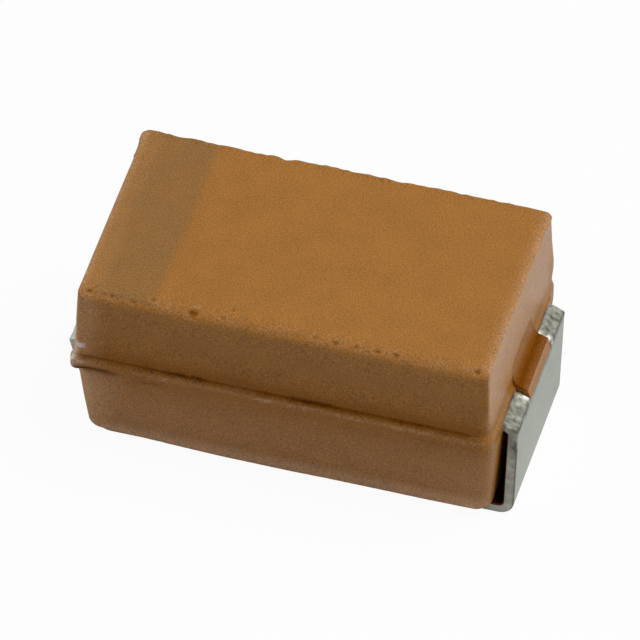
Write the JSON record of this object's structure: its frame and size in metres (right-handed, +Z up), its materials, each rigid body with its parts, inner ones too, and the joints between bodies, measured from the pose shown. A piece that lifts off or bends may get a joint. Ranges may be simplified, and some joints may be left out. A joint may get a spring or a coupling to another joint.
{
  "type": "niobium oxide chip capacitor",
  "caption": "Surface-mount capacitor: an orange-brown moulded epoxy case with a polarity band, holding a niobium oxide slug between folded tin-plated terminals.",
  "frame": {"origin": "on the board plane, midway between the outer faces of the two terminals", "axes": "+X towards the cathode terminal, +Z up from the board, the anode's polarity band at the -X end of the top"},
  "size_m": [0.0058, 0.0032, 0.0028],
  "materials": {
    "epoxy": "matt orange-brown filled epoxy, fine grained, with a greyer marked band",
    "tin_plate": "dull matt tin plate, greenish grey, mottled at the bends",
    "niobium_oxide": "dark grey sintered powder, porous",
    "niobium": "drawn grey metal wire",
    "fluoropolymer": "white waxy plastic",
    "silver_paint": "dull silver-filled paint"
  },
  "bodies": {
    "root": {"moulded_case": "epoxy", "cathode_terminal": "tin_plate", "anode_terminal": "tin_plate", "niobium_oxide_slug": "niobium_oxide", "anode_wire": "niobium", "wire_washer": "fluoropolymer", "silver_coat": "silver_paint", "silver_adhesive": "silver_paint"}
  },
  "joints": []
}
